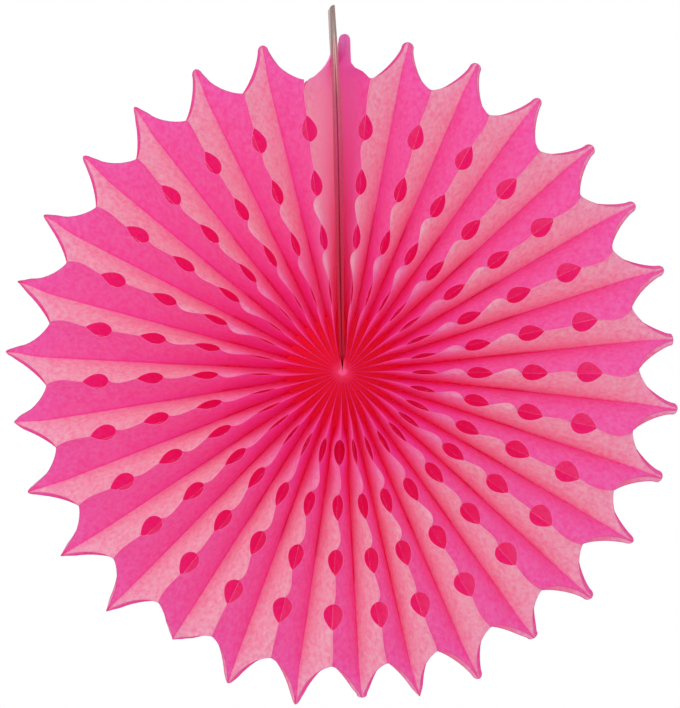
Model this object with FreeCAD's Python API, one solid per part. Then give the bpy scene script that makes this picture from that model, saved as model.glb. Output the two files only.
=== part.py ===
"""Honeycomb paper fan, opened to a full rosette, hanging from its two card boards.

The fan is a stack of die-cut tissue leaves between two boards. A leaf is a strip whose length
runs from the hub to the rim. Neighbouring leaves are pasted together in turn along their middle
line and along their front and back edges, so the opened stack is a ring of diamond cells. The
middle lines end in the points of the star and the edges end in the notches between them. Bites
cut out of the front edges open into holes along every front ridge. The back edges are plain, so
each hole looks into a closed cell.

Frame: millimetres, +Z up, the rosette's plane is XZ and its front faces -Y. The origin is the
middle of the hang hole. Angles about the hub run clockwise from +Z, as seen from the front.
"""
import FreeCAD, Part
import math
import os

# Driving sizes, in millimetres and degrees.
TIP_RADIUS = 225.0         # hub centre to the end of a paper point
POINT_LENGTH = 28.7        # how far the points stand out past the notches between them
LEAF_WIDTH = 53.0          # a flat leaf from front edge to back edge, and the width of a board
TIP_SWING = 63.0           # how far a half leaf has turned from edge-on at the end of its point
LEAF_THICKNESS = 0.4       # measured round the rosette
LEAF_COUNT = 60            # two leaves to a cell
FINGER_WIDTH = 8.7         # the round end of a point, laid flat
FLARE_POWER = 2.74         # hollowness of the curve from a notch up to the finger
FRONT_TRIM = 0.45          # a point's front half is narrower than its back half by this share
HOLE_LENGTH = 17.5         # a bite in a leaf's front edge, along the leaf
HOLE_DEPTH = 8.75          # and into the leaf
HOLE_PITCH = 36.5          # from one bite to the next
RIM_TO_HOLE = 33.0         # from the notch circle in to the middle of the outermost bite
BOARD_THICKNESS = 1.5
BOARD_OVERRUN = 21.0       # how far the boards stand out past the points
BOARD_BOW = 1.1            # the paper pulls each board this far out of line at mid length
SEAM_CLEARANCE = 0.1       # from each board to the seam plane where the two meet
HANG_HOLE_RADIUS = 2.0
HANG_HOLE_INSET = 8.0      # from the boards' top end to the hole's centre
FOOT_SQUEEZE = 0.2         # the fan's own weight narrows the lowest cells by this share
FOOT_ANGLE = 171.0         # where they are narrowest
FOOT_SPREAD = 12.0         # how far round that reaches
TOP_EASE = 0.01            # the cells at the top open wider than the mean by this share

# Shape of a bite: round towards the hub and drawn out towards the rim,
# as shares of its length and of its depth.
HOLE_SHAPE = ((0.0, 0.0), (0.12, 0.6), (0.4, 1.0), (0.72, 0.7), (1.0, 0.0))
HOLE_KNOT = 0.35           # a joint of the middle line lies under this share of each bite's length
EDGE_STEPS = 2             # straight pieces that a plain edge is built from
FLARE_STEPS = 4
FRONT_FINGER_STEPS = 1
BACK_FINGER_STEPS = 2
HUB_MARGIN = 1.1           # room in the packed hub, over leaves that only just fit
HUB_OPENING = 3.0          # the packed leaves have parted into cells at this many hub radii

# Sizes that follow.
HALF_WIDTH = LEAF_WIDTH / 2
NOTCH_RADIUS = TIP_RADIUS - POINT_LENGTH
FINGER_RADIUS = FINGER_WIDTH / 2
BOARD_END = TIP_RADIUS + BOARD_OVERRUN
HUB_TO_HOLE = BOARD_END - HANG_HOLE_INSET
SEAM_HALF = BOARD_THICKNESS + SEAM_CLEARANCE
SWING_SINE = math.sin(math.radians(TIP_SWING))
OUTER_HOLE = NOTCH_RADIUS - RIM_TO_HOLE
HOLE_COUNT = int(OUTER_HOLE / HOLE_PITCH)
HOLE_STARTS = [OUTER_HOLE - HOLE_LENGTH / 2 - place * HOLE_PITCH for place in reversed(range(HOLE_COUNT))]


def line_angles():
    """Angle of each paste line, from the right board's face round to the left board's."""
    shares = []
    for leaf in range(LEAF_COUNT):
        middle = (leaf + 0.5) * 360.0 / LEAF_COUNT
        foot = math.exp(-((middle - FOOT_ANGLE) / FOOT_SPREAD) ** 2)
        shares.append(1.0 + TOP_EASE * math.cos(math.radians(middle)) - FOOT_SQUEEZE * foot)
    angles = [0.0]
    for share in shares:
        angles.append(angles[-1] + 360.0 * share / sum(shares))
    return angles


LINE_ANGLES = line_angles()
NARROWEST = min(after - before for before, after in zip(LINE_ANGLES, LINE_ANGLES[1:]))
HUB_RADIUS = HUB_MARGIN * LEAF_THICKNESS / math.radians(NARROWEST)
CELL_RADIUS = HUB_OPENING * HUB_RADIUS
UNDER_HOLES = [start + HOLE_KNOT * HOLE_LENGTH for start in HOLE_STARTS]
MIDDLE_KNOTS = [HUB_RADIUS] + UNDER_HOLES + [NOTCH_RADIUS]


def board_bow(radius):
    """How far a board's face stands out of line at this distance from the hub."""
    along = (radius - HUB_RADIUS) / (TIP_RADIUS - HUB_RADIUS)
    return BOARD_BOW * math.sin(math.pi * min(max(along, 0.0), 1.0))


def on_line(line, radius):
    """Point at mid depth on a paste line; the first and last lines lie on the boards' faces."""
    angle = math.radians(LINE_ANGLES[line])
    across = SEAM_HALF * math.cos(angle / 2)
    if line == 0:
        across += board_bow(radius)
    if line == LEAF_COUNT:
        across -= board_bow(radius)
    return FreeCAD.Vector(across + radius * math.sin(angle), 0, radius * math.cos(angle))


def half_depth(radius):
    """Depth of the ridge line in front of the fan's middle plane."""
    return HALF_WIDTH * math.sqrt(1.0 - (SWING_SINE * radius / TIP_RADIUS) ** 2)


def bitten_edge():
    """A flat leaf's front edge from the hub to its notch, as (radius, share of the half width)."""
    edge = [(HUB_RADIUS, 1.0), (CELL_RADIUS, 1.0)]
    for start in HOLE_STARTS:
        for along, deep in HOLE_SHAPE:
            edge.append((start + along * HOLE_LENGTH, 1.0 - deep * HOLE_DEPTH / HALF_WIDTH))
    return edge + [(NOTCH_RADIUS, 1.0)]


def plain_edge():
    """A flat leaf's back edge from the hub to its notch."""
    step = (NOTCH_RADIUS - CELL_RADIUS) / EDGE_STEPS
    return [(HUB_RADIUS, 1.0)] + [(CELL_RADIUS + place * step, 1.0) for place in range(EDGE_STEPS + 1)]


def point_edge(trim, finger_steps):
    """The rest of an edge, from its notch up the flare and round the finger to the tip."""
    edge = []
    finger_start = TIP_RADIUS - FINGER_RADIUS
    for step in range(1, FLARE_STEPS + 1):
        turn = math.radians(90.0 * step / FLARE_STEPS)
        out = math.sin(turn) ** FLARE_POWER
        width = FINGER_RADIUS + (HALF_WIDTH - FINGER_RADIUS) * abs(math.cos(turn)) ** FLARE_POWER
        share = width / HALF_WIDTH * (1.0 - trim * out)
        edge.append((NOTCH_RADIUS + out * (finger_start - NOTCH_RADIUS), share))
    for step in range(1, finger_steps):
        turn = math.radians(90.0 * step / finger_steps)
        share = FINGER_RADIUS / HALF_WIDTH * math.cos(turn) * (1.0 - trim)
        edge.append((finger_start + FINGER_RADIUS * math.sin(turn), share))
    return edge + [(TIP_RADIUS, 0.0)]


def sheet_points(valley, ridge, radius, share):
    """The two faces of a leaf at one place: towards its middle paste line, and into its cell."""
    start = on_line(valley, radius)
    across = on_line(ridge, radius) - start
    width = across.Length
    side = FreeCAD.Vector(across).normalize()
    inner = min(width * share + LEAF_THICKNESS, width)
    deep = half_depth(radius)
    face = start + side * (width * share) + FreeCAD.Vector(0, deep * share, 0)
    back = start + side * inner + FreeCAD.Vector(0, deep * (inner - LEAF_THICKNESS) / width, 0)
    return face, back


def leaf_half(valley, ridge, outline, mirror, points, middles, tips):
    """Triangles of one half of a leaf, from its middle line to its front or back edge."""
    faces = []
    backs = []
    for radius, share in outline[:-1]:
        face, back = sheet_points(valley, ridge, radius, share)
        faces.append(len(points))
        points.append(FreeCAD.Vector(face.x, mirror * face.y, face.z))
        backs.append(len(points))
        points.append(FreeCAD.Vector(back.x, mirror * back.y, back.z))
    faces.append(tips[0])
    backs.append(tips[1])
    triangles = []
    knot = 0
    for place in range(len(outline) - 1):
        radius = (outline[place][0] + outline[place + 1][0]) / 2
        while knot < len(MIDDLE_KNOTS) - 1 and radius > (MIDDLE_KNOTS[knot] + MIDDLE_KNOTS[knot + 1]) / 2:
            triangles.append((middles[knot][0], middles[knot + 1][0], faces[place]))
            triangles.append((middles[knot][1], backs[place], middles[knot + 1][1]))
            knot += 1
        triangles.append((middles[knot][0], faces[place + 1], faces[place]))
        triangles.append((middles[knot][1], backs[place], backs[place + 1]))
        triangles.append((faces[place], faces[place + 1], backs[place + 1]))
        triangles.append((faces[place], backs[place + 1], backs[place]))
    if mirror < 0:
        triangles = [triangle[::-1] for triangle in triangles]
    return triangles, faces[0], backs[0]


def leaf(number):
    """One leaf, counted clockwise from the right board, with its wedge of the packed hub."""
    valley, ridge = (number - 1, number) if number % 2 else (number, number - 1)
    back = plain_edge() + point_edge(0.0, BACK_FINGER_STEPS)
    front = bitten_edge() + point_edge(FRONT_TRIM, FRONT_FINGER_STEPS)
    points = [FreeCAD.Vector(0, -HALF_WIDTH, 0), FreeCAD.Vector(0, HALF_WIDTH, 0)]
    hub_front, hub_back = 0, 1
    middles = []
    for radius in MIDDLE_KNOTS + [TIP_RADIUS]:
        middles.append((len(points), len(points) + 1))
        points.extend(sheet_points(valley, ridge, radius, 0.0))
    tips = middles.pop()
    back_half, face_b, inner_b = leaf_half(valley, ridge, back, 1, points, middles, tips)
    front_half, face_f, inner_f = leaf_half(valley, ridge, front, -1, points, middles, tips)
    middle, hollow = middles[0]
    hub = [
        (hub_back, middle, face_b),
        (hub_front, middle, hub_back),
        (hub_front, face_f, middle),
        (hub_back, face_b, inner_b),
        (hub_front, hub_back, inner_b),
        (hub_front, inner_b, inner_f),
        (hub_front, inner_f, face_f),
        (inner_f, inner_b, hollow),
    ]
    triangles = back_half + front_half + hub
    if number % 2 == 0:
        triangles = [triangle[::-1] for triangle in triangles]
    shell = Part.Shape()
    shell.makeShapeFromMesh((points, triangles), 0.0001)
    return Part.makeSolid(shell)


def board(side):
    """One greyboard strip; side is 1 for the right board and -1 for the left."""
    knots = MIDDLE_KNOTS + [TIP_RADIUS, BOARD_END]
    outer = [FreeCAD.Vector(side * (SEAM_HALF + board_bow(z)), -HALF_WIDTH, z) for z in knots]
    inner = [point - FreeCAD.Vector(side * BOARD_THICKNESS, 0, 0) for point in outer]
    profile = Part.Face(Part.makePolygon(outer + inner[::-1] + outer[:1]))
    strip = profile.extrude(FreeCAD.Vector(0, LEAF_WIDTH, 0))
    reach = 2 * (SEAM_HALF + BOARD_BOW)
    drill = Part.makeCylinder(
        HANG_HOLE_RADIUS, 2 * reach, FreeCAD.Vector(-reach, 0, HUB_TO_HOLE), FreeCAD.Vector(1, 0, 0))
    return strip.cut(drill)


def export(shape, name):
    """Move a piece from the hub's frame to the hang hole's and write it."""
    shape.translate(FreeCAD.Vector(0, 0, -HUB_TO_HOLE))
    shape.exportStep("parts/" + name + ".step")


os.makedirs("parts", exist_ok=True)
# The end leaves share the node of the board that each is pasted to.
export(Part.makeCompound([board(1), leaf(1)]), "right_board")
export(Part.makeCompound([board(-1), leaf(LEAF_COUNT)]), "left_board")
for number in range(2, LEAF_COUNT):
    export(leaf(number), "leaf_%02d" % number)
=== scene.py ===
# %% [markdown]
# # A honeycomb paper fan, opened to a full rosette
# The real thing is a pad of sixty die-cut tissue leaves between two strips of greyboard. Glue
# lines join each leaf to one neighbour along its middle and to the other along its edges. When the
# boards are swung right round until they meet, the pad opens into a ring of diamond cells.
#
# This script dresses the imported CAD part. It repeats the CAD part's few driving sizes, and adds
# what thin paper does by itself: its edges curl, its walls sag, and its points bend a little.

import math

import bmesh
import bpy
from mathutils import Matrix, Vector, noise


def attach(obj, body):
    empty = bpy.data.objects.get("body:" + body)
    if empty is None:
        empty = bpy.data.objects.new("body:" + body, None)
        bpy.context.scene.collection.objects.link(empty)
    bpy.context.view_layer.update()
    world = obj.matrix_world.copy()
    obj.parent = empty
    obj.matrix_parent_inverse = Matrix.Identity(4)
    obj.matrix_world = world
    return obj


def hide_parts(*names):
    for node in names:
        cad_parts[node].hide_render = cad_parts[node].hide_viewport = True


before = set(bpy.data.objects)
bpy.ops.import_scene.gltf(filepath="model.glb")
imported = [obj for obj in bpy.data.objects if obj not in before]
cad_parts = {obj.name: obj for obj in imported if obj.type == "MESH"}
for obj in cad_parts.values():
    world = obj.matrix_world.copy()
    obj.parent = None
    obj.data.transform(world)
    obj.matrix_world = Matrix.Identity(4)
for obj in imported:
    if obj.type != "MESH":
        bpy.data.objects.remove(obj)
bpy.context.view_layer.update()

# %% [markdown]
# ## Sizes
# All lengths are millimetres and all angles are degrees, as in the CAD part. Angles round the fan
# run clockwise from the top, as seen from the front, and the front faces -Y.

# %% Sizes of the fan
MM = 0.001
TIP_RADIUS = 225.0
POINT_LENGTH = 28.7
LEAF_WIDTH = 53.0
TIP_SWING = 63.0
LEAF_COUNT = 60
FINGER_WIDTH = 8.7
FLARE_POWER = 2.74
FRONT_TRIM = 0.45
HOLE_LENGTH = 17.5
HOLE_DEPTH = 8.75
HOLE_PITCH = 36.5
RIM_TO_HOLE = 33.0
BOARD_THICKNESS = 1.5
BOARD_OVERRUN = 21.0
SEAM_CLEARANCE = 0.1
HANG_HOLE_RADIUS = 2.0
HANG_HOLE_INSET = 8.0
FOOT_SQUEEZE = 0.2
FOOT_ANGLE = 171.0
FOOT_SPREAD = 12.0
TOP_EASE = 0.01

HALF_WIDTH = LEAF_WIDTH / 2
NOTCH_RADIUS = TIP_RADIUS - POINT_LENGTH
FINGER_RADIUS = FINGER_WIDTH / 2
FINGER_START = TIP_RADIUS - FINGER_RADIUS
BOARD_END = TIP_RADIUS + BOARD_OVERRUN
HUB_TO_HOLE = BOARD_END - HANG_HOLE_INSET
SEAM_HALF = BOARD_THICKNESS + SEAM_CLEARANCE
SWING_SINE = math.sin(math.radians(TIP_SWING))
OUTER_HOLE = NOTCH_RADIUS - RIM_TO_HOLE
HOLE_COUNT = int(OUTER_HOLE / HOLE_PITCH)
HOLE_STARTS = [
    OUTER_HOLE - HOLE_LENGTH / 2 - place * HOLE_PITCH for place in reversed(range(HOLE_COUNT))]
print("bites start at", [round(start, 2) for start in HOLE_STARTS])
print("a leaf is", TIP_RADIUS, "x", LEAF_WIDTH, "mm and a board", BOARD_END, "x", LEAF_WIDTH, "mm")

# %% [markdown]
# ## What the paper does by itself
# Tissue is only a few hundredths of a millimetre thick. A leaf is drawn as a sheet a tenth of a
# millimetre thick, inside the thicker wall of the CAD part. Between the bites a leaf's front edge
# stands a little past the glue line. Those free lobes curl over to one side.

# %% Sizes of a sheet
SHEET = 0.12               # a leaf's thickness
SHEET_OFFSET = 0.061       # from a glue line to the middle of each of its two sheets
CORE_RADIUS = 2.4          # the leaves start here
FIRST_LOBE = 6.0           # and the lobe nearest the hub starts here
LOBE_HEIGHTS = (1.5, 3.4, 3.9, 3.4, 4.6)
OUTER_LOBE = len(LOBE_HEIGHTS) - 1
CURL = 1.5                 # half the length over which a leaf bends into its lobe
print(len(LOBE_HEIGHTS), "lobes on a leaf, up to", max(LOBE_HEIGHTS), "mm high")

# %% [markdown]
# ## Where the glue lines lie
# The leaves share the turn evenly, apart from the lowest cells, which the fan's weight presses
# together. The same formula placed the glue lines of the CAD part.

# %% Glue lines


def smooth(low, high, value):
    """A soft step from 0 at low to 1 at high."""
    share = min(max((value - low) / (high - low), 0.0), 1.0)
    return share * share * (3.0 - 2.0 * share)


def line_angles():
    """Angle of each glue line, from the right board's face round to the left board's."""
    shares = []
    for leaf in range(LEAF_COUNT):
        middle = (leaf + 0.5) * 360.0 / LEAF_COUNT
        foot = math.exp(-((middle - FOOT_ANGLE) / FOOT_SPREAD) ** 2)
        shares.append(1.0 + TOP_EASE * math.cos(math.radians(middle)) - FOOT_SQUEEZE * foot)
    angles = [0.0]
    for share in shares:
        angles.append(angles[-1] + 360.0 * share / sum(shares))
    return angles


LINE_ANGLES = line_angles()
SEAM_BEND = 1.25           # both boards together bend this far to the right


def bump(radius, skew, roundness):
    """A soft bump along a board, from 0 at the hub to 0 at its top; more skew moves it up."""
    along = min(max(radius / BOARD_END, 0.0), 1.0)
    return math.sin(math.pi * along ** skew) ** roundness


def seam_bend(radius):
    """How far both boards together bend to the right."""
    return SEAM_BEND * bump(radius, skew=1.6, roundness=1.3)


def on_line(line, radius):
    """A glue line's place in the fan's plane, at mid depth, as (x, z) from the hub."""
    angle = math.radians(LINE_ANGLES[line])
    across = SEAM_HALF * math.cos(angle / 2)
    if line in (0, LEAF_COUNT):
        across += seam_bend(radius)
    return Vector((across + radius * math.sin(angle), radius * math.cos(angle)))


def half_depth(radius):
    """How far in front of the fan's middle plane a ridge lies."""
    return HALF_WIDTH * math.sqrt(1.0 - (SWING_SINE * radius / TIP_RADIUS) ** 2)


top_angle = LINE_ANGLES[1]
foot_angle = LINE_ANGLES[29] - LINE_ANGLES[28]
print("leaf angles at the top and the foot:", round(top_angle, 2), round(foot_angle, 2))

# %% [markdown]
# ## The outline of a leaf
# One steel-rule die cuts the whole pad, so every leaf has the same outline: bites and lobes by
# turns along the front edge, a plain back edge, and a round-ended finger at the rim.

# %% Outline
# the skews move a curve's peak along it, and FULLNESS rounds its ends
BITE_SKEW = 0.757
LOBE_SKEW = 1.6
FIRST_LOBE_SKEW = 2.4
FULLNESS = 0.8
TRIM_SWING = 0.2           # how much the front trim changes round the fan
TRIM_PEAK = 140.0          # and where it is largest


def flare(radius):
    """Half width of a leaf outside its notch, and the share of the way to its finger."""
    out = min((radius - NOTCH_RADIUS) / (FINGER_START - NOTCH_RADIUS), 1.0)
    turn = math.asin(out ** (1.0 / FLARE_POWER))
    width = FINGER_RADIUS + (HALF_WIDTH - FINGER_RADIUS) * abs(math.cos(turn)) ** FLARE_POWER
    if radius > FINGER_START:
        along = (radius - FINGER_START) / FINGER_RADIUS
        width = FINGER_RADIUS * math.sqrt(max(1.0 - along ** 2, 0.0))
    return width, out


def back_edge(radius):
    """Half width of the plain back half."""
    return HALF_WIDTH if radius <= NOTCH_RADIUS else flare(radius)[0]


def lobe_number(radius):
    """Which lobe, counted from the hub, is nearest."""
    return sum(radius > start + HOLE_LENGTH / 2 for start in HOLE_STARTS)


def front_trim(number):
    """The share by which a point's front half is narrower; most at the lower right."""
    angle = math.radians(LINE_ANGLES[number] - TRIM_PEAK)
    return FRONT_TRIM + TRIM_SWING * math.cos(angle)


def front_edge(number, radius):
    """Half width of the front half: less than HALF_WIDTH in a bite and more on a lobe."""
    if radius > NOTCH_RADIUS:
        if number == 1:
            return flare(radius)[0]
        width, out = flare(radius)
        return width * (1.0 - front_trim(number) * out)
    inner = FIRST_LOBE
    for start, height in zip(HOLE_STARTS + [NOTCH_RADIUS], LOBE_HEIGHTS):
        if radius < start:
            along = min(max((radius - inner) / (start - inner), 0.0), 1.0)
            skew = FIRST_LOBE_SKEW if inner == FIRST_LOBE else LOBE_SKEW
            return HALF_WIDTH + height * math.sin(math.pi * along ** skew) ** FULLNESS
        along = (radius - start) / HOLE_LENGTH
        if along < 1.0:
            return HALF_WIDTH - HOLE_DEPTH * math.sin(math.pi * along ** BITE_SKEW) ** FULLNESS
        inner = start + HOLE_LENGTH
    return HALF_WIDTH


middle_of_bite = HOLE_STARTS[1] + HOLE_LENGTH / 2
print("a bite leaves", round(front_edge(2, middle_of_bite), 2), "mm of the front half")

# %% [markdown]
# ## Rows of points
# A sheet needs most rows where its edge turns most. So they lie close together at the ends of a
# bite, at the foot of a point's flare and round its finger, and further apart on the lobes.

# %% Rows of points
INNER_ROW = 5.5            # one more row between the hub and the first lobe
LOBE_SPACING = 2.4         # rows on a lobe are about this far apart
LEAST_LOBE_ROWS = 4
BITE_ROWS = 14
RIM_ROWS = 11
FLARE_ROWS = 12
FINGER_ROWS = 7
LAST_ROW = 0.9995          # the last row stops just short of the tip, so that it keeps a width


def stations():
    """The radii at which a leaf's sheet has a row of points."""
    marks = [CORE_RADIUS, INNER_ROW, FIRST_LOBE]
    inner = FIRST_LOBE
    for start in HOLE_STARTS:
        steps = max(int((start - inner) / LOBE_SPACING), LEAST_LOBE_ROWS)
        marks += [inner + (start - inner) * step / steps for step in range(1, steps + 1)]
        for step in range(1, BITE_ROWS + 1):
            marks.append(start + HOLE_LENGTH * (1 - math.cos(math.pi * step / BITE_ROWS)) / 2)
        inner = start + HOLE_LENGTH
    for step in range(1, RIM_ROWS + 1):
        marks.append(inner + (NOTCH_RADIUS - inner) * step / RIM_ROWS)
    for step in range(1, FLARE_ROWS + 1):
        out = math.sin(math.radians(90 * step / FLARE_ROWS)) ** FLARE_POWER
        marks.append(NOTCH_RADIUS + (FINGER_START - NOTCH_RADIUS) * out)
    for step in range(1, FINGER_ROWS + 1):
        out = math.sin(math.radians(90 * step / FINGER_ROWS))
        marks.append(FINGER_START + LAST_ROW * FINGER_RADIUS * out)
    return marks


ROWS = stations()
print(len(ROWS), "rows, the last at", round(ROWS[-1], 3))

# %% [markdown]
# ## How the paper hangs
# Tissue never hangs quite true: the ridges drift to one side, the walls belly out at the lower
# right and fall in at the upper left, and each lobe leans its own way. Each of these is a mean,
# one or two waves round the fan, and a little noise. The places looked up in the noise are uneven
# steps apart, so that neighbours differ.

# %% Ridges, walls and lobes
# waves round the fan: the mean, the size, the angle of the peak and a part that rises twice a turn
DRIFT_WAVE = (1.0, 1.5, 310.0, 1.2)
RIM_DRIFT_WAVE = (0.2, 2.9, 310.0)
SMOOTH_BOW_WAVE = (0.2, 3.4, 124.0)
ROUGH_BOW_WAVE = (0.7, 0.95, 164.0)
OUTER_LOBE_WAVE = (0.0, 0.8, 90.0, 1.85)
DRIFT_GROWS = (10.0, 100.0)
RIM_TAKES_OVER = (174.0, 196.0)
FULL_BOW_RADIUS = 170.0    # the walls belly out more and more up to here
BOW_ENDS = (175.0, 215.0)  # and are flat again at the rim
PINCH = 0.9                # the innermost bites are drawn together by this much
PINCH_BEGINS = (38.0, 48.0)
PINCH_ENDS = (58.0, 70.0)
GAPE = 3.0                 # except at the foot, where they gape by twice as much
GAPE_ANGLE = 186.0
GAPE_SPREAD = 9.0
LOBE_SHIFTS = (-0.7, -2.7, -2.6, -0.9, 1.6)    # where a lobe's crest lies, clockwise of its ridge
LOBE_SWAYS = (-0.4, -0.8, -0.8, 0.7, 0.0)      # how much further it lies so at the upper right
LOBE_SWAY_PEAK = 60.0
LOBE_PLAY = 2.2            # how much lobes differ from one another
FULL_PLAY_HEIGHT = 3.4     # lower lobes differ less
MOST_LEAN = 0.97           # a lobe leans over until its sine is this


def wave(angle, mean, size, peak, twice=0.0):
    """A value that is largest at the peak angle, in degrees, and may also rise twice a turn."""
    return mean + size * math.cos(angle - math.radians(peak)) - twice * math.cos(2 * angle)


def ridge_drift(angle, radius):
    """How far a front ridge lies clockwise of its place."""
    inner = wave(angle, *DRIFT_WAVE) * smooth(*DRIFT_GROWS, radius)
    rim = wave(angle, *RIM_DRIFT_WAVE)
    return inner + (rim - inner) * smooth(*RIM_TAKES_OVER, radius)


def wall_bow(angle, radius, smooth_side):
    """How far the middle of a front wall bellies out of its cell."""
    size = wave(angle, *(SMOOTH_BOW_WAVE if smooth_side else ROUGH_BOW_WAVE))
    slack = math.exp(-((math.degrees(angle) - GAPE_ANGLE) / GAPE_SPREAD) ** 2)
    at_bite = smooth(*PINCH_BEGINS, radius) * (1.0 - smooth(*PINCH_ENDS, radius))
    pinch = PINCH * (1.0 - GAPE * slack) * at_bite
    return size * radius / FULL_BOW_RADIUS * (1.0 - smooth(*BOW_ENDS, radius)) - pinch


def lobe_lean(ridge, angle, radius):
    """How far a lobe leans anticlockwise from straight forward, in radians."""
    lobe = lobe_number(radius)
    shift = wave(angle, LOBE_SHIFTS[lobe], LOBE_SWAYS[lobe], LOBE_SWAY_PEAK)
    if lobe == OUTER_LOBE:
        shift += wave(angle, *OUTER_LOBE_WAVE)
    play = noise.noise(Vector((ridge * 1.37, lobe * 3.11, 7.3)))
    shift += LOBE_PLAY * min(LOBE_HEIGHTS[lobe] / FULL_PLAY_HEIGHT, 1.0) * play
    return -math.asin(min(max(shift / LOBE_HEIGHTS[lobe], -MOST_LEAN), MOST_LEAN))


right, left = math.radians(90.0), math.radians(270.0)
print("ridges drift at the right and left by",
      [round(ridge_drift(angle, 110.0), 2) for angle in (right, left)])

# %% [markdown]
# ## The points
# A point is free at its end. It sways to one side, its two halves stand open by a share of their
# cell's width, and its end bends backwards. The points that show best have a bend and an opening
# of their own; a point is known by the number of its glue line.

# %% Points
TIP_SWAY_WAVE = (0.9, 1.4, 331.0, 0.9)
OPENING_WAVE = (0.72, 0.35, 85.0)
TIP_OPENINGS = {16: 1.08, 24: 1.0, 28: 0.2, 30: 1.0, 36: 0.2, 40: 0.2}
TIP_PLAY = 0.7             # how much the other points' openings differ from one another
LEAST_OPENING = 0.15
MOST_OPENING = 1.08
TIP_OPENS = (TIP_RADIUS - 9.0, TIP_RADIUS + 1.0)
LAST_TIP = (188.0, 221.0)  # the left board's point lies down along it between these radii
LAST_TIP_SHUTS = 0.97      # by this share
PLAIN_CURL = (207.0, 40.0, 3.0)    # every point bends backwards: from here, this tightly, this far
TIP_CURLS = {
    14: (207.0, 17.0, 3.0), 24: (207.0, 9.0, 1.0), 28: (209.0, 18.0, 3.0), 30: (206.0, 8.6, 1.05),
    34: (207.0, 17.0, 3.0), 36: (197.0, 9.0, 1.15), 44: (207.0, 17.0, 3.0)}


def tip_sway(angle, radius):
    """How far a point leans clockwise."""
    return wave(angle, *TIP_SWAY_WAVE) * smooth(NOTCH_RADIUS, TIP_RADIUS, radius)


def tip_opening(valley, radius):
    """How far a point's two halves stand open, from 0 for shut to 1 for as wide as its cell."""
    if valley == LEAF_COUNT:
        return 1.0 - LAST_TIP_SHUTS * smooth(*LAST_TIP, radius)
    angle = math.radians(LINE_ANGLES[valley])
    play = noise.noise(Vector((valley * 2.13, 0.4, 1.9)))
    end = wave(angle, *OPENING_WAVE) + TIP_PLAY * play
    end = min(max(TIP_OPENINGS.get(valley, end), LEAST_OPENING), MOST_OPENING)
    return 1.0 - (1.0 - end) * smooth(*TIP_OPENS, radius)


def curled(place, number):
    """A point carried backwards round its tip's curl."""
    valley = number - number % 2
    if valley in (0, LEAF_COUNT):
        return place
    begin, size, limit = TIP_CURLS.get(valley, PLAIN_CURL)
    angle = math.radians(LINE_ANGLES[valley])
    outward = Vector((math.sin(angle), 0, math.cos(angle)))
    past = place.dot(outward) - begin
    if past <= 0.0:
        return place
    turn = min(past / size, limit)
    straight = past - turn * size
    out = size * math.sin(turn) + straight * math.cos(turn) - past
    back = size * (1.0 - math.cos(turn)) + straight * math.sin(turn)
    return place + outward * out + Vector((0, back, 0))


print("the lowest point stands open by", round(tip_opening(30, TIP_RADIUS), 2))

# %% [markdown]
# ## The point beside the right board
# Leaf 1 is pasted to the right board, so its point has no neighbour to close it. It has turned to
# the front and shows its round finger there, with a slope of paper up to it on the right.

# %% The first point
FIRST_TIP_SHIFT = 5.6      # it stands this far off the board
FIRST_TIP_REACH = 14.0     # and this far forward
FIRST_TIP_SIDE = 11.3      # its right side lies this far from the seam
SLOPE_FOOT = 23.3          # and the slope up to it starts this far out
LEFT_GAP = 0.1             # its left side starts this far off the seam
LEFT_STEP = 1.3            # and steps this much further out
MOST_ACROSS = 0.98
# the radii between which each of these happens
SHIFT_GROWS = (203.0, 214.0)
REACH_GROWS = (NOTCH_RADIUS, 214.0)
SLOPE_RISES = (NOTCH_RADIUS, 205.0)
LEFT_STEPS = (206.0, 212.0)
FRONT_TURNS = (NOTCH_RADIUS, NOTCH_RADIUS + 4.0)
BACK_TURNS = (NOTCH_RADIUS + 2.0, 206.0)


def first_tip(strip):
    """Turn the right board's point to the front, one half to the right and one to the left."""
    radius = strip.radius
    if radius <= NOTCH_RADIUS:
        return
    strip.start.x += FIRST_TIP_SHIFT * smooth(*SHIFT_GROWS, radius)
    strip.start.y -= FIRST_TIP_REACH * smooth(*REACH_GROWS, radius)
    edge = max(front_edge(1, radius), FINGER_RADIUS)
    down_slope = 1.0 - smooth(*SLOPE_RISES, radius)
    right_side = FIRST_TIP_SIDE + (SLOPE_FOOT - FIRST_TIP_SIDE) * down_slope
    left_side = SEAM_HALF + LEFT_GAP + LEFT_STEP * smooth(*LEFT_STEPS, radius)

    def turned(side, turn):
        across = min(max((side - strip.start.x) / edge, -MOST_ACROSS), MOST_ACROSS)
        forward = turn * math.sqrt(1.0 - across * across)
        return strip.start + Vector((across, forward, 0)) * HALF_WIDTH

    to_right, to_left = turned(right_side, -1), turned(left_side, 1)
    strip.ridge = strip.ridge.lerp(to_right, smooth(*FRONT_TURNS, radius))
    strip.back_ridge = strip.back_ridge.lerp(to_left, smooth(*BACK_TURNS, radius))


print("the first point is turned to the front from", round(NOTCH_RADIUS, 1), "mm on")

# %% [markdown]
# ## One leaf in place
# A leaf runs straight from its middle glue line to the glue line along its edges, then bends into
# its lobe. A strip is the leaf's cross-section at one radius. It knows where the middle line and
# both ridges are and how its lobe leans, and it gives the place of any point between them.

# %% A strip of a leaf
WANDER = 0.8               # how far a ridge strays from its place
WANDER_GROWS = (20.0, 90.0)
BACK_DROOP = 1.0           # the back ridges hang down by this much
FULL_DROOP_RADIUS = 180.0  # at this radius


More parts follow.
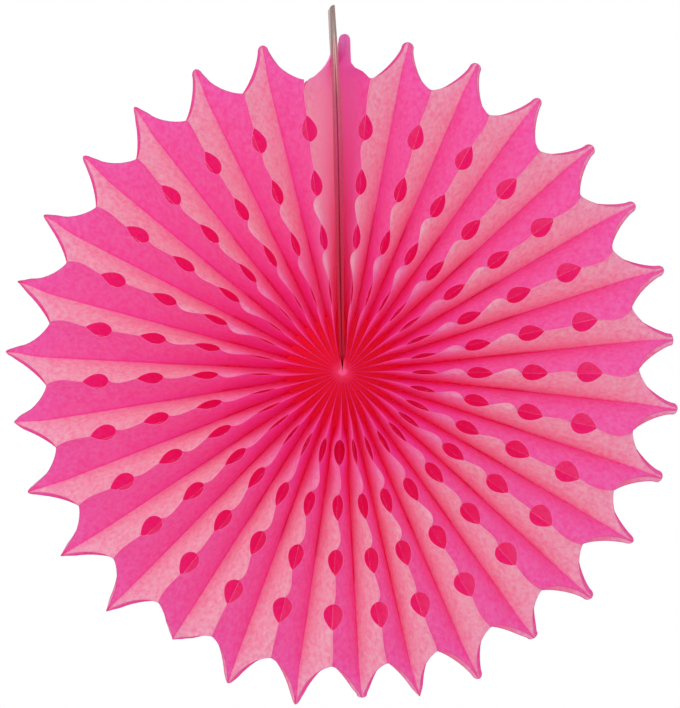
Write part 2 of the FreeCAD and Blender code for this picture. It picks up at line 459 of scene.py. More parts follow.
class Strip:
    """One leaf's cross-section at one radius. Its points are millimetres from the hub."""

    def __init__(self, number, radius):
        odd = number % 2 == 1
        valley, ridge = (number - 1, number) if odd else (number, number - 1)
        self.radius = radius
        angle = math.radians(LINE_ANGLES[ridge])
        clockwise = Vector((math.cos(angle), 0, -math.sin(angle)))
        start = on_line(valley, radius)
        end = on_line(ridge, radius)
        self.start = Vector((start.x, 0, start.y))
        span = Vector((end.x, 0, end.y)) - self.start
        opening = tip_opening(valley, radius)
        depth = math.sqrt(half_depth(radius) ** 2 + span.length_squared * (1.0 - opening ** 2))
        if 0 < valley < LEAF_COUNT:
            valley_angle = math.radians(LINE_ANGLES[valley])
            along = Vector((math.cos(valley_angle), 0, -math.sin(valley_angle)))
            self.start += along * tip_sway(valley_angle, radius)
        end = self.start + span * opening
        side = span.normalized()
        self.start = self.start + side * SHEET_OFFSET
        stray = noise.noise(Vector((ridge * 5.37, radius / 70.0, 0.5)))
        wander = WANDER * stray * smooth(*WANDER_GROWS, radius)
        turn = 1.0 if odd else -1.0
        lean = lobe_lean(ridge, angle, radius)
        self.lean = -clockwise * math.sin(lean) + Vector((0, -math.cos(lean), 0))
        normal = clockwise * math.cos(lean) + Vector((0, -math.sin(lean), 0))
        drift = ridge_drift(angle, radius) + wander
        self.ridge = end + clockwise * drift + Vector((0, -depth, 0)) - normal * SHEET_OFFSET * turn
        droop = BACK_DROOP * radius / FULL_DROOP_RADIUS * math.sin(angle) - wander
        self.back_ridge = end + clockwise * droop - side * SHEET_OFFSET + Vector((0, depth, 0))
        wall = (self.ridge - self.start).normalized()
        outward = clockwise * -turn * abs(wall.y) + Vector((0, -abs(wall.dot(clockwise)), 0))
        self.bow = outward * wall_bow(angle, radius, odd)
        if number == 1:
            first_tip(self)

    def wall(self, share):
        return self.start.lerp(self.ridge, share) + self.bow * 4 * share * (1 - share)

    def front(self, reach, edge):
        """The point that lies this far from the middle line, along the front half."""
        bend = min(CURL, max(edge - HALF_WIDTH, 0.0))
        if reach <= HALF_WIDTH - bend or bend < 0.01:
            return self.wall(reach / HALF_WIDTH)
        if reach >= HALF_WIDTH + bend:
            return self.ridge + self.lean * (reach - HALF_WIDTH)
        share = (reach - HALF_WIDTH + bend) / (2 * bend)
        before = self.wall(1.0 - bend / HALF_WIDTH)
        after = self.ridge + self.lean * bend
        return before * (1 - share) ** 2 + self.ridge * 2 * share * (1 - share) + after * share ** 2

    def back(self, reach):
        """The same along the back half."""
        return self.start.lerp(self.back_ridge, reach / HALF_WIDTH)


print("leaf 2's ridge at mid radius:", [round(value, 1) for value in Strip(2, 110.0).ridge])

# %% [markdown]
# ## A leaf as a flat grid
# A real leaf is a flat strip of tissue before the pad is opened, so each one starts here as a flat
# grid: one row of points for each station, from the back edge, past the middle, to the front edge.
# The points are then moved to where the paper lies. Modelling the opened shape by hand would take
# sixty different sheets; a formula that knows the glue lines makes them all, and keeps each pair
# of neighbours in touch where the glue is.
#
# Three attributes go with the grid for the paper's finish: how far a point is from the cut edge,
# how far it is from the middle glue line, and whether it is on the back half, with its sign
# telling which side of the leaf looks into a cell.

# %% Shape the leaves
HUB_PLACE = Vector((0, 0, -HUB_TO_HOLE))
FRONT_COLUMNS = 11
BACK_COLUMNS = 6


def sheet_grid():
    """A flat grid with a row for each station; the bmesh's own x and y give row and column."""
    bm = bmesh.new()
    bmesh.ops.create_grid(
        bm, x_segments=len(ROWS) - 1, y_segments=FRONT_COLUMNS + BACK_COLUMNS, size=0.5)
    return bm


def leaf_mesh(number):
    """One leaf as a single sheet of faces."""
    bm = sheet_grid()
    to_edge = bm.verts.layers.float.new("from_edge")
    to_middle = bm.verts.layers.float.new("from_middle")
    which_back = bm.verts.layers.float.new("back_half")
    strips = [Strip(number, radius) for radius in ROWS]
    for vert in bm.verts:
        row = round((vert.co.x + 0.5) * (len(ROWS) - 1))
        column = round((vert.co.y + 0.5) * (FRONT_COLUMNS + BACK_COLUMNS)) - BACK_COLUMNS
        strip = strips[row]
        if column >= 0:
            edge = front_edge(number, strip.radius)
            reach = edge * math.sin(math.radians(90.0 * column / FRONT_COLUMNS))
            place = strip.front(reach, edge)
            vert[to_edge] = edge - reach + HALF_WIDTH * (number == 1)
        else:
            edge = back_edge(strip.radius)
            reach = edge * -column / BACK_COLUMNS
            place = strip.back(reach)
            no_rim = number == 1 or strip.radius < NOTCH_RADIUS
            vert[to_edge] = edge - reach + HALF_WIDTH * no_rim
            vert[which_back] = 1.0 if number % 2 else -1.0
        vert[to_middle] = reach
        vert.co = (HUB_PLACE + curled(place, number)) * MM
    for face in bm.faces:
        face.smooth = True
    mesh = bpy.data.meshes.new("tissue_leaf_%02d" % number)
    bm.to_mesh(mesh)
    bm.free()
    return mesh


print("a sheet has", (len(ROWS) - 1) * (FRONT_COLUMNS + BACK_COLUMNS), "faces")

# %% [markdown]
# ## Small helpers for the finishes
# A material here is a chain of nodes: a value is taken from the object's own coordinates or from
# an attribute, mapped to the range 0 to 1, and used to blend one colour into the next. These few
# functions each make one such link, so that the finishes below read as a list of tints.

# %% Node helpers


def new_material(name):
    material = bpy.data.materials.new(name)
    material.use_nodes = True
    material.node_tree.nodes.clear()
    return material, material.node_tree.nodes, material.node_tree.links


def constant(nodes, kind, values):
    node = nodes.new(kind)
    for name, value in values.items():
        node.inputs[name].default_value = value
    return node


def ranged(nodes, links, source, low, high, low_value, high_value):
    """A value mapped from one range to another, and held at its ends."""
    node = nodes.new("ShaderNodeMapRange")
    node.inputs["From Min"].default_value = low
    node.inputs["From Max"].default_value = high
    node.inputs["To Min"].default_value = low_value
    node.inputs["To Max"].default_value = high_value
    links.new(source, node.inputs["Value"])
    return node.outputs["Result"]


def blended(nodes, links, factor, first, second):
    """A colour mix; first and second are colours or sockets."""
    node = nodes.new("ShaderNodeMix")
    node.data_type = "RGBA"
    links.new(factor, node.inputs["Factor"])
    for socket, value in ((node.inputs[6], first), (node.inputs[7], second)):
        if isinstance(value, tuple):
            socket.default_value = value
        else:
            links.new(value, socket)
    return node.outputs[2]


def from_hub(nodes, links):
    """Millimetres from the hub's axis, as a socket."""
    place = nodes.new("ShaderNodeTexCoord").outputs["Object"]
    flat = nodes.new("ShaderNodeVectorMath")
    flat.operation = "MULTIPLY_ADD"
    links.new(place, flat.inputs[0])
    flat.inputs[1].default_value = (1.0 / MM, 0.0, 1.0 / MM)
    flat.inputs[2].default_value = (0.0, 0.0, HUB_TO_HOLE)
    length = nodes.new("ShaderNodeVectorMath")
    length.operation = "LENGTH"
    links.new(flat.outputs["Vector"], length.inputs[0])
    return length.outputs["Value"]


def attribute(nodes, name):
    node = nodes.new("ShaderNodeAttribute")
    node.attribute_name = name
    return node.outputs["Fac"]


def multiplied(nodes, links, first, second):
    node = nodes.new("ShaderNodeMath")
    node.operation = "MULTIPLY"
    links.new(first, node.inputs[0])
    links.new(second, node.inputs[1])
    return node.outputs[0]


print("helpers for values, ranges, blends and distances are ready")

# %% [markdown]
# ## The tissue's finish
# Tissue is dyed in the roll. One side is pressed smooth and takes the dye deeply; the other is
# left rough and looks paler, with cloudy fibre clumps. In the opened fan the two sides take turns,
# which gives the rosette its light and dark bands. Both let some light through, so each finish
# mixes a plain diffuse surface with a translucent one.
#
# The tints are layered one over the next: first the clouds, then the cut edge, with a painted
# highlight along it below the notches and darker on the points, then painted light along the
# valleys and painted shade in the deep cells, where light has crossed many pink walls, then painted
# shade on the back walls inside a cell, a painted highlight on the crests of the lobes near the
# hub, painted shade at the hub itself and last the glue line. Beside the boards, painted light
# makes the tissue paler against the boards' shade.

# %% Tissue finishes
TISSUE_SURFACE = {"Roughness": 0.75, "Specular IOR Level": 0.15}
# painted shade at the hub
HUB_SHADE = (0.965, 0.022, 0.23, 1)
# a lighter painted shade at the hub's very middle
HUB_MIDDLE_SHADE = (1.0, 0.10, 0.29, 1)
# a painted highlight on the lobe crests near the hub
CREST_HIGHLIGHT = (1.0, 0.17, 0.34, 1)
# painted shade on the back walls inside a cell
CELL_SHADE = (0.93, 0.003, 0.11, 1)
PASSED = (1.0, 0.16, 0.68, 1)      # the light that comes through
BOARD_LIGHT_ACROSS = (7.0, 19.0)         # the painted light beside the boards fades out between these, to each side
BOARD_LIGHT_ABOVE = (30.0, 72.0)         # and fades in between these, above the hub
# how strongly painted shade darkens a cell's back walls: from radius, to radius, strength at each
CELL_SHADE_STRENGTHS = ((37.0, 46.0, 0.0, 1.0), (56.0, 76.0, 1.0, 0.4), (100.0, 165.0, 1.0, 0.1))


def board_light_mask(nodes, links):
    """1 next to the boards, fading to 0 about a cell's width away and at the hub: painted light."""
    place = nodes.new("ShaderNodeTexCoord").outputs["Object"]
    split = nodes.new("ShaderNodeSeparateXYZ")
    links.new(place, split.inputs[0])
    across = nodes.new("ShaderNodeMath")
    across.operation = "ABSOLUTE"
    links.new(split.outputs["X"], across.inputs[0])
    near, far = BOARD_LIGHT_ACROSS
    beside = ranged(nodes, links, across.outputs[0], near * MM, far * MM, 0.95, 0.0)
    low, high = BOARD_LIGHT_ABOVE
    low, high = (low - HUB_TO_HOLE) * MM, (high - HUB_TO_HOLE) * MM
    above = ranged(nodes, links, split.outputs["Z"], low, high, 0.0, 1.0)
    return multiplied(nodes, links, beside, above)


def paper(name, inner, see_through, body, cloud, rim, dusk, valley_light, glue, inner_shade, pasted_and_painted_light):
    """A tissue finish: a clouded body, a tinted glue line, and painted light and shade on edges and
    hub.

    inner is 1 where this side of an odd leaf looks into a cell, and -1 where an even leaf's does.
    """
    material, nodes, links = new_material(name)
    place = nodes.new("ShaderNodeTexCoord").outputs["Object"]
    clouds = constant(
        nodes, "ShaderNodeTexNoise", {"Scale": 330.0, "Detail": 4.0, "Roughness": 0.65})
    links.new(place, clouds.inputs["Vector"])
    soft = ranged(nodes, links, clouds.outputs["Fac"], 0.36, 0.64, 0.0, 1.0)
    colour = blended(nodes, links, soft, body, cloud)
    radius = from_hub(nodes, links)
    # a painted highlight along the cut edge below the notches; past them the edge is darker
    past_notch = ranged(nodes, links, radius, NOTCH_RADIUS - 4.0, NOTCH_RADIUS + 4.0, 0.0, 1.0)
    edge_colour = blended(nodes, links, past_notch, rim, dusk)
    at_edge = ranged(nodes, links, attribute(nodes, "from_edge"), 0.3, 1.0, 1.0, 0.0)
    colour = blended(nodes, links, at_edge, colour, edge_colour)
    # a bluer tint along the valleys: painted light against the reddening of many bounces
    in_valley = ranged(nodes, links, attribute(nodes, "from_middle"), 0.5, 10.0, 0.6, 0.0)
    well_inside = ranged(nodes, links, radius, 110.0, 180.0, 1.0, 0.0)
    colour = blended(nodes, links, multiplied(nodes, links, in_valley, well_inside), colour, valley_light)
    # painted shade: a deeper, more saturated pink towards the hub
    near_hub = ranged(nodes, links, radius, 20.0, 105.0, 1.0, 0.0)
    colour = blended(nodes, links, near_hub, colour, inner_shade)
    # painted shade on the back walls inside a cell
    cell_shade_mask = ranged(nodes, links, attribute(nodes, "back_half"), 0.0, inner, 0.0, 1.0)
    for strength in CELL_SHADE_STRENGTHS:
        cell_shade_mask = multiplied(nodes, links, cell_shade_mask, ranged(nodes, links, radius, *strength))
    colour = blended(nodes, links, cell_shade_mask, colour, CELL_SHADE)
    # painted light beside the boards, against their shade
    colour = blended(nodes, links, board_light_mask(nodes, links), colour, pasted_and_painted_light)
    # a painted highlight on the lobe crests near the hub
    crest_highlight = ranged(nodes, links, attribute(nodes, "from_edge"), 0.2, 2.6, 0.65, 0.0)
    colour = blended(nodes, links, multiplied(nodes, links, crest_highlight, near_hub), colour, CREST_HIGHLIGHT)
    # painted shade at the hub
    hub_shade_mask = ranged(nodes, links, radius, 14.0, 45.0, 1.0, 0.0)
    colour = blended(nodes, links, hub_shade_mask, colour, HUB_SHADE)
    # a lighter painted shade at the hub's very middle
    hub_middle_mask = ranged(nodes, links, radius, 2.0, 9.0, 0.8, 0.0)
    colour = blended(nodes, links, hub_middle_mask, colour, HUB_MIDDLE_SHADE)
    at_middle = ranged(nodes, links, attribute(nodes, "from_middle"), 0.3, 1.6, 0.6, 0.0)
    inside = ranged(nodes, links, radius, NOTCH_RADIUS - 30.0, TIP_RADIUS, 1.0, 0.3)
    colour = blended(nodes, links, multiplied(nodes, links, at_middle, inside), colour, glue)
    front = constant(nodes, "ShaderNodeBsdfPrincipled", TISSUE_SURFACE)
    links.new(colour, front.inputs["Base Color"])
    through = constant(nodes, "ShaderNodeBsdfTranslucent", {"Color": PASSED})
    both = nodes.new("ShaderNodeMixShader")
    both.inputs["Fac"].default_value = see_through
    links.new(front.outputs[0], both.inputs[1])
    links.new(through.outputs[0], both.inputs[2])
    output = nodes.new("ShaderNodeOutputMaterial")
    links.new(both.outputs[0], output.inputs["Surface"])
    return material


# the reach of the painted light beside the boards
print("the paste beside the boards reaches", BOARD_LIGHT_ACROSS[1], "mm to each side")

# %% [markdown]
# ## Rough side, smooth side and cut edge
# One function makes all three, so they share their layers and differ only in tint. The cut edge
# lets less light through than the sheet does, because the die has pressed its fibres together.

# %% Three tissue finishes
# each finish: a rim that is a painted highlight, painted light in the valleys and beside the
# boards, and painted shade towards the hub
ROUGH = paper(
    "tissue_rough_side", inner=1.0, see_through=0.4,
    body=(1.0, 0.43, 0.65, 1), cloud=(1.0, 0.80, 0.88, 1), rim=(1.0, 0.62, 0.78, 1),
    dusk=(0.80, 0.28, 0.48, 1), valley_light=(1.0, 0.56, 0.98, 1), glue=(1.0, 0.15, 0.62, 1),
    inner_shade=(1.0, 0.06, 0.72, 1), pasted_and_painted_light=(1.0, 0.77, 0.88, 1))
SMOOTH = paper(
    "tissue_smooth_side", inner=-1.0, see_through=0.4,
    body=(1.0, 0.125, 0.53, 1), cloud=(1.0, 0.265, 0.66, 1), rim=(1.0, 0.25, 0.66, 1),
    dusk=(0.80, 0.18, 0.46, 1), valley_light=(1.0, 0.17, 0.85, 1), glue=(1.0, 0.06, 0.54, 1),
    inner_shade=(1.0, 0.06, 0.72, 1), pasted_and_painted_light=(1.0, 0.40, 0.82, 1))
CUT = paper(
    "tissue_cut_edge", inner=1.0, see_through=0.2,
    body=(1.0, 0.35, 0.65, 1), cloud=(1.0, 0.38, 0.68, 1), rim=(1.0, 0.42, 0.72, 1),
    dusk=(0.74, 0.18, 0.42, 1), valley_light=(1.0, 0.30, 0.80, 1), glue=(1.0, 0.10, 0.38, 1),
    inner_shade=(1.0, 0.08, 0.42, 1), pasted_and_painted_light=(1.0, 0.50, 0.75, 1))
print("tissue finishes:", ROUGH.name, SMOOTH.name, CUT.name)

# %% [markdown]
# ## From a sheet to paper with two sides
# Solidify gives the sheet its thickness and its closed rim, and hands the two sides and the rim
# their own materials. It is applied at once, so every leaf ends as a plain closed mesh. Leaf 1 is
# pasted to the right board and leaf 60 to the left one; their numbers run clockwise.

# %% Build the leaves


def thicken(piece):
    """Give a sheet its thickness: the rough side, the smooth side and the cut edge."""
    for material in (ROUGH, SMOOTH, CUT):
        piece.data.materials.append(material)
    shell = piece.modifiers.new("thickness", "SOLIDIFY")
    shell.thickness = SHEET * MM
    shell.offset = 0.0
    shell.material_offset = 1
    shell.material_offset_rim = 2
    graph = bpy.context.evaluated_depsgraph_get()
    solid = bpy.data.meshes.new_from_object(piece.evaluated_get(graph))
    solid.name = piece.data.name
    piece.modifiers.clear()
    piece.data = solid
    solid.set_sharp_from_angle(angle=math.radians(50))


leaves = []
for number in range(1, LEAF_COUNT + 1):
    mesh = leaf_mesh(number)
    piece = bpy.data.objects.new("tissue_leaf_%02d" % number, mesh)
    bpy.context.collection.objects.link(piece)
    thicken(piece)
    leaves.append(piece)
print(len(leaves), "leaves of", len(leaves[0].data.polygons), "faces")

# %% [markdown]
# ## The boards' finish
# Each board is one strip of greyboard. A leaf is pasted flat on its outer face. The strip goes
# from bare grey at its top to a dark rose at the hub: painted pink light bounced from the tissue,
# and painted shade that deepens towards the hub; on the pasted face the pink is the leaf's own. A
# colour ramp that follows the height does this, with one ramp for the sawn edges, one for the
# pasted face and one for the inner face that meets the other board.

# %% Board finishes
BOARD_SURFACE = {"Roughness": 0.85, "Specular IOR Level": 0.05}
BOARD_SHADE = (0.75, 0.70, 0.68, 1)


def height_ramp(nodes, links, stops):
    """A colour that changes with the height above the hub; stops are (millimetres, colour)."""
    place = nodes.new("ShaderNodeTexCoord").outputs["Object"]
    split = nodes.new("ShaderNodeSeparateXYZ")
    links.new(place, split.inputs[0])
    low, high = -HUB_TO_HOLE * MM, (BOARD_END - HUB_TO_HOLE) * MM
    share = ranged(nodes, links, split.outputs["Z"], low, high, 0.0, 1.0)
    ramp = nodes.new("ShaderNodeValToRGB")
    steps = ramp.color_ramp.elements
    while len(steps) < len(stops):
        steps.new(0.5)
    for step, (height, colour) in zip(steps, stops):
        step.position = height / BOARD_END
        step.color = colour
    links.new(share, ramp.inputs["Fac"])
    return ramp.outputs["Color"]


def board_finish(name, stops):
    material, nodes, links = new_material(name)
    place = nodes.new("ShaderNodeTexCoord").outputs["Object"]
    fibre = constant(nodes, "ShaderNodeTexNoise", {"Scale": 900.0, "Detail": 4.0})
    links.new(place, fibre.inputs["Vector"])
    colour = height_ramp(nodes, links, stops)
    darker = nodes.new("ShaderNodeMix")
    darker.data_type = "RGBA"
    darker.blend_type = "MULTIPLY"
    specks = ranged(nodes, links, fibre.outputs["Fac"], 0.4, 0.6, 0.5, 0.0)
    links.new(specks, darker.inputs["Factor"])
    links.new(colour, darker.inputs[6])
    darker.inputs[7].default_value = BOARD_SHADE
    front = constant(nodes, "ShaderNodeBsdfPrincipled", BOARD_SURFACE)
    links.new(darker.outputs[2], front.inputs["Base Color"])
    output = nodes.new("ShaderNodeOutputMaterial")
    links.new(front.outputs[0], output.inputs["Surface"])
    return material


# painted pink bounce light and painted shade, darker towards the hub; grey at the top
BOARD_EDGE_PAINTED_SHADE = board_finish("greyboard_edge_painted_shade", (
    (0.0, (0.45, 0.01, 0.03, 1)), (30.0, (0.58, 0.02, 0.05, 1)), (142.0, (0.62, 0.065, 0.13, 1)),
    (205.0, (0.60, 0.16, 0.21, 1)), (225.0, (0.36, 0.29, 0.26, 1))))
# the pasted leaf's own pink, with painted shade darkening it towards the hub
BOARD_OUTSIDE_PAINTED_SHADE = board_finish("greyboard_pasted_face", (
    (0.0, (1.0, 0.03, 0.20, 1)), (60.0, (1.0, 0.38, 0.76, 1)), (120.0, (1.0, 0.62, 0.88, 1)),
    (206.0, (1.0, 0.62, 0.85, 1)), (216.0, (0.66, 0.57, 0.54, 1))))
# painted bounce light and painted shade on the inner face, darker towards the hub
BOARD_INSIDE_PAINTED_SHADE = board_finish("greyboard_inner_face_painted_shade", (
    (0.0, (0.50, 0.01, 0.03, 1)), (61.0, (0.62, 0.02, 0.06, 1)), (142.0, (0.73, 0.07, 0.20, 1)),
    (182.0, (0.72, 0.14, 0.27, 1)), (200.0, (0.82, 0.33, 0.40, 1)), (215.0, (0.95, 0.74, 0.72, 1))))
print("board finishes:", BOARD_EDGE_PAINTED_SHADE.name, BOARD_OUTSIDE_PAINTED_SHADE.name, BOARD_INSIDE_PAINTED_SHADE.name)

# %% [markdown]
# ## The boards' shape
# A board is a plain strip with a hole punched near its top for hanging. Its outline is drawn from
# the side, with the hole as a second loop inside it, and filled; pushing that face sideways gives
# the thickness. Then come the marks of handling. The pull of the leaves rolls the front edges
# apart, both boards bend a little to the right together and twist at the top, and the soft tops
# are worn down. Cuts across the strip, close together at its front edge, give these bends
# somewhere to happen.

# %% Shape the boards
BOARD_TWIST = 1.6          # the back edges lie this far to the left of the front ones at the top
FRONT_BOW = 1.5            # each front edge is rolled out by this much
BOW_SHARPNESS = 50         # a large power keeps that to the last millimetre or so of depth
BOARD_FOOT = 3.6           # the boards end this far above the hub
BOARD_TOP = 2.1            # the worn tops end this far short
TOP_SLOPE = 0.9            # and slope down to the left
FOOT_BEVEL = (11.0, 10.0)  # the lower front corner is cut off by this much up and this much back
HOLE_SIDES = 32
CUTS_UP = 24               # equal lengths from foot to top
CUTS_BACK = (0.01, 0.02, 0.04, 0.07, 0.1, 0.14, 0.19, 0.3, 0.5, 0.75)    # shares of the depth
SNAP = 0.001               # a cut closer than this to a point goes through the point
CLEARANCE_CLOSES = (-0.99, -0.93)    # the gap between the boards closes between these depths
TWIST_RISES = (120.0, 225.0)         # and the twist grows between these heights
WORN_LENGTH = 3.0          # the length over which a top is worn


def board_bow(radius, depth):
    """How far a board stands out of line; depth runs from -1 at its front edge to 1 at its back."""
    bow = FRONT_BOW * bump(radius, skew=1.3, roundness=1.2)
    return bow * max(-depth, 0.0) ** BOW_SHARPNESS


def cut_across(bm, place, direction):
    bmesh.ops.bisect_plane(
        bm, geom=bm.verts[:] + bm.edges[:] + bm.faces[:], dist=SNAP,
        plane_co=place, plane_no=direction)


def board_mesh(side):
    """A strip drawn in the YZ plane with its hole, filled, cut into short lengths, thickened."""
    bm = bmesh.new()
    hole = bmesh.ops.create_circle(bm, segments=HOLE_SIDES, radius=HANG_HOLE_RADIUS)["verts"]
    upright = Matrix.Rotation(math.radians(90), 3, "Y")
    bmesh.ops.rotate(bm, verts=hole, cent=(0, 0, 0), matrix=upright)
    bmesh.ops.translate(bm, verts=hole, vec=(0, 0, HUB_TO_HOLE))
    low, high = BOARD_FOOT, BOARD_END - BOARD_TOP
    up, back = FOOT_BEVEL
    corners = [bm.verts.new((0, y, z)) for y, z in (
        (-HALF_WIDTH, up), (-HALF_WIDTH + back, low), (HALF_WIDTH, low),
        (HALF_WIDTH, high), (-HALF_WIDTH, high))]
    for first, second in zip(corners, corners[1:] + corners[:1]):
        bm.edges.new((first, second))
    bmesh.ops.triangle_fill(bm, edges=bm.edges, use_beauty=True)
    for level in range(1, CUTS_UP):
        cut_across(bm, (0, 0, low + (high - low) * level / CUTS_UP), (0, 0, 1))
    for share in CUTS_BACK:
        cut_across(bm, (0, LEAF_WIDTH * (share - 0.5), 0), (0, 1, 0))
    bmesh.ops.translate(bm, verts=bm.verts, vec=(side * SEAM_CLEARANCE, 0, 0))
    skin = bmesh.ops.extrude_face_region(bm, geom=bm.faces[:])["geom"]
    moved = [item for item in skin if isinstance(item, bmesh.types.BMVert)]
    bmesh.ops.translate(bm, verts=moved, vec=(side * BOARD_THICKNESS, 0, 0))
    bmesh.ops.recalc_face_normals(bm, faces=bm.faces)
    print("open edges of a board:", sum(not edge.is_manifold for edge in bm.edges))
    for face in bm.faces:
        outward = face.normal.x * side
        face.material_index = 0 if abs(outward) < 0.5 else 1 if outward > 0 else 2
    for vert in bm.verts:
        depth = vert.co.y / HALF_WIDTH
        closed = SEAM_CLEARANCE * smooth(*CLEARANCE_CLOSES, depth)
        vert.co.x += side * (board_bow(vert.co.z, depth) - closed)
        vert.co.x += seam_bend(vert.co.z)
        worn = smooth(high - WORN_LENGTH, high, vert.co.z)
        vert.co.z -= TOP_SLOPE * max(-vert.co.x, 0.0) * worn
        vert.co.x -= BOARD_TWIST * (depth + 1) / 2 * smooth(*TWIST_RISES, vert.co.z)
        vert.co = (HUB_PLACE + vert.co) * MM
    mesh = bpy.data.meshes.new("board")
    bm.to_mesh(mesh)
    bm.free()
    for finish in (BOARD_EDGE_PAINTED_SHADE, BOARD_OUTSIDE_PAINTED_SHADE, BOARD_INSIDE_PAINTED_SHADE):
        mesh.materials.append(finish)
    return mesh


# %% [markdown]
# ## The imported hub
# Near the hub the sixty leaves are squeezed into one solid mass, and no leaf can be told from the
# next. It is drawn as one turned shape that fills the bottoms of the folds. A disc is drawn
# forwards through the profile step by step; the few faces below the two boards are left behind at
# the groove's floor, so that the boards' front edges run down into a slot, as they do between
# real leaves.

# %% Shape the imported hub
# half width and half depth, from the thin end to the middle
CORE_PROFILE = ((2.4, 25.8), (5.5, 24.9), (9.0, 24.2), (16.0, 22.0), (26.0, 16.5), (38.0, 6.0))
GROOVE_FLOOR = -16.5
GROOVE_HALF_ANGLE = 0.1    # radians each side of straight up
# painted shade in the folds of the packed hub
HUB_FOLD_SHADE = (0.95, 0.015, 0.08, 1)


def hub_finish():
    """Painted shade of the packed folds, redder away from the middle."""
    material, nodes, links = new_material("tissue_packed_hub")
    spread = ranged(nodes, links, from_hub(nodes, links), 1.0, 8.5, 0.0, 1.0)
    front = constant(nodes, "ShaderNodeBsdfPrincipled", TISSUE_SURFACE)
    colour = blended(nodes, links, spread, HUB_MIDDLE_SHADE, HUB_FOLD_SHADE)
    links.new(colour, front.inputs["Base Color"])
    output = nodes.new("ShaderNodeOutputMaterial")
    links.new(front.outputs[0], output.inputs["Surface"])
    return material


def in_groove(face):
    middle = face.calc_center_median()
    return abs(math.atan2(middle.x, middle.z)) < GROOVE_HALF_ANGLE


def core_mesh():
    """A disc drawn forwards through the profile; the groove's faces stay behind at its floor."""
    bm = bmesh.new()
    last_width, last_depth = CORE_PROFILE[0]
    bmesh.ops.create_circle(
        bm, cap_ends=True, cap_tris=True, segments=LEAF_COUNT, radius=last_width)
    upright = Matrix.Rotation(math.radians(90), 3, "X")
    bmesh.ops.rotate(bm, verts=bm.verts, cent=(0, 0, 0), matrix=upright)
    bmesh.ops.translate(bm, verts=bm.verts, vec=(0, last_depth, 0))
    steps = list(CORE_PROFILE[1:])
    steps += [(width, -depth) for width, depth in reversed(CORE_PROFILE)]
    cap = bm.faces[:]
    for width, depth in steps:
        edges = list(dict.fromkeys(edge for face in cap for edge in face.edges))
        skin = bmesh.ops.extrude_face_region(bm, geom=cap + edges)["geom"]
        moved = [item for item in skin if isinstance(item, bmesh.types.BMVert)]
        bmesh.ops.translate(bm, verts=moved, vec=(0, depth - last_depth, 0))
        bmesh.ops.scale(bm, verts=moved, vec=(width / last_width, 1.0, width / last_width))
        cap = [item for item in skin if isinstance(item, bmesh.types.BMFace)]
        if depth <= GROOVE_FLOOR:
            cap = [face for face in cap if not in_groove(face)]
        last_width, last_depth = width, depth
    bmesh.ops.recalc_face_normals(bm, faces=bm.faces)
    print("open edges of the hub:", sum(not edge.is_manifold for edge in bm.edges))
    for vert in bm.verts:
        vert.co = (HUB_PLACE + vert.co) * MM
    mesh = bpy.data.meshes.new("packed_core")
    bm.to_mesh(mesh)
    bm.free()
    mesh.materials.append(hub_finish())
    return mesh


# %% [markdown]
# ## Place the hub and the boards
# All three are modelled in the frame's own coordinates, with the hanging hole at the origin, so
# they need no moving, turning or scaling afterwards.

# %% Build the hub and the boards
core = bpy.data.objects.new("packed_core", core_mesh())
bpy.context.collection.objects.link(core)
boards = []
for side, name in ((1, "right_board_strip"), (-1, "left_board_strip")):
    strip = bpy.data.objects.new(name, board_mesh(side))
    bpy.context.collection.objects.link(strip)
    boards.append(strip)

print("boards of", len(boards[0].data.polygons), "faces")

# %% [markdown]
# ## Which CAD node each piece stands for
# Every piece rides the one body, root, because a paper fan has no moving parts. Each leaf stands
# for the leaf of the same number. In the CAD part leaf 1 and leaf 60 belong to the boards that
# they are pasted on, so both of them stand for a board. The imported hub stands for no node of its
# own: there, every CAD leaf carries its own wedge of it.

# %% Ride and replace
for number, piece in enumerate(leaves, start=1):
    node = {1: "right_board", LEAF_COUNT: "left_board"}.get(number, "leaf_%02d" % number)
    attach(piece, "root")
    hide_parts(node)
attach(core, "root")
for strip, node in zip(boards, ("right_board", "left_board")):
    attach(strip, "root")
    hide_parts(node)
print(len(leaves) + len(boards), "pieces stand for CAD nodes, and the packed hub for none")

# %% [markdown]
# ## Light and floor
# A light tent: an even white surround lights the paper from all sides, which is how such fans are
# shot for a catalogue, and a weak softbox from the upper left gives the folds a direction. The
# surround looks full white to the camera and is a little dimmer as a lamp. The floor is a plain
# pale plane below the fan, clear of its lowest points, and it keeps the fan's soft shadow.

# %% Stage
world = bpy.data.worlds.new("studio")
bpy.context.scene.world = world
world.use_nodes = True
nodes, links = world.node_tree.nodes, world.node_tree.links
nodes.clear()
LIGHT_LEVEL = 0.82
path = nodes.new("ShaderNodeLightPath")
seen = nodes.new("ShaderNodeMath")
seen.operation = "MAXIMUM"
links.new(path.outputs["Is Camera Ray"], seen.inputs[0])
links.new(path.outputs["Is Glossy Ray"], seen.inputs[1])
level = ranged(nodes, links, seen.outputs[0], 0.0, 1.0, LIGHT_LEVEL, 1.0)
sky = constant(nodes, "ShaderNodeBackground", {"Color": (1, 1, 1, 1)})
links.new(level, sky.inputs["Strength"])
output = nodes.new("ShaderNodeOutputWorld")
links.new(sky.outputs[0], output.inputs["Surface"])

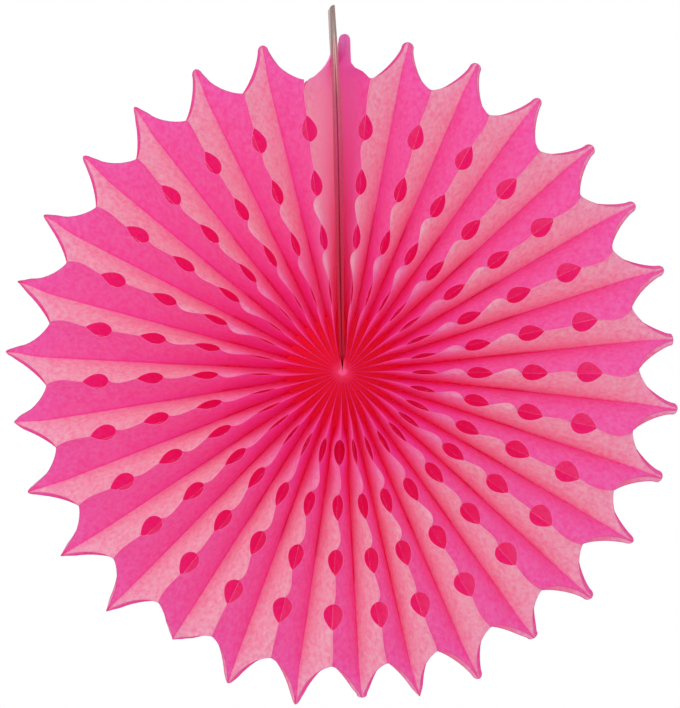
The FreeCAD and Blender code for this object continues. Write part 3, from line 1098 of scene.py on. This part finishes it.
FLOOR_SIZE = 3.0
FLOOR_LEVEL = -0.62
bpy.ops.mesh.primitive_plane_add(size=FLOOR_SIZE, location=(0, 0, FLOOR_LEVEL))
floor = bpy.context.object
floor.name = "floor"
floor_material, nodes, links = new_material("floor")
front = constant(nodes, "ShaderNodeBsdfDiffuse", {"Color": (0.9, 0.9, 0.9, 1)})
output = nodes.new("ShaderNodeOutputMaterial")
links.new(front.outputs[0], output.inputs["Surface"])
floor.data.materials.append(floor_material)

lamp_data = bpy.data.lights.new("softbox", "AREA")
lamp_data.shape = "SQUARE"
lamp_data.size = 1.5
lamp_data.energy = 5.0
lamp = bpy.data.objects.new("softbox", lamp_data)
bpy.context.collection.objects.link(lamp)
lamp.location = (-1.1, -1.5, 0.7)
aim = Vector((0, 0, -HUB_TO_HOLE * MM)) - lamp.location
lamp.rotation_euler = aim.to_track_quat("-Z", "Y").to_euler()
print("softbox", round(aim.length, 2), "m from the hub, surround at", LIGHT_LEVEL)

# %% [markdown]
# ## Camera
# The fan is seen square on from the front through a long lens, so that its rim stays round and
# the boards show only their edges. The camera is rolled a little, because the fan does not hang
# quite plumb. Light bounces many times between the pink walls before it leaves a cell, and each
# bounce makes it redder, so the bounce limits are set high.

# %% Camera
VIEW_WIDTH = 454.036       # millimetres across the view, at the fan
DISTANCE = 5000.0
ROLL = 1.6
AIM = (-1.7, 12.0, 0.0)    # the middle of the view, to the left of and above the hub
SENSOR = 36.0
camera_data = bpy.data.cameras.new("camera")
camera = bpy.data.objects.new("camera", camera_data)
bpy.context.collection.objects.link(camera)
bpy.context.scene.camera = camera
camera_data.sensor_fit = "HORIZONTAL"
camera_data.sensor_width = SENSOR
camera_data.lens = SENSOR * DISTANCE / VIEW_WIDTH
camera_data.clip_end = 20.0
turn = Matrix.Rotation(math.radians(90), 4, "X") @ Matrix.Rotation(math.radians(-ROLL), 4, "Z")
shift = turn.to_3x3() @ Vector(AIM)
place = HUB_PLACE + shift + Vector((0, -DISTANCE, 0))
camera.matrix_world = Matrix.Translation(place * MM) @ turn
print("camera at", [round(value, 3) for value in camera.matrix_world.translation])

scene = bpy.context.scene
scene.view_settings.view_transform = "Standard"
scene.cycles.max_bounces = 96
scene.cycles.diffuse_bounces = 80
scene.cycles.transmission_bounces = 80

# %% Hand over
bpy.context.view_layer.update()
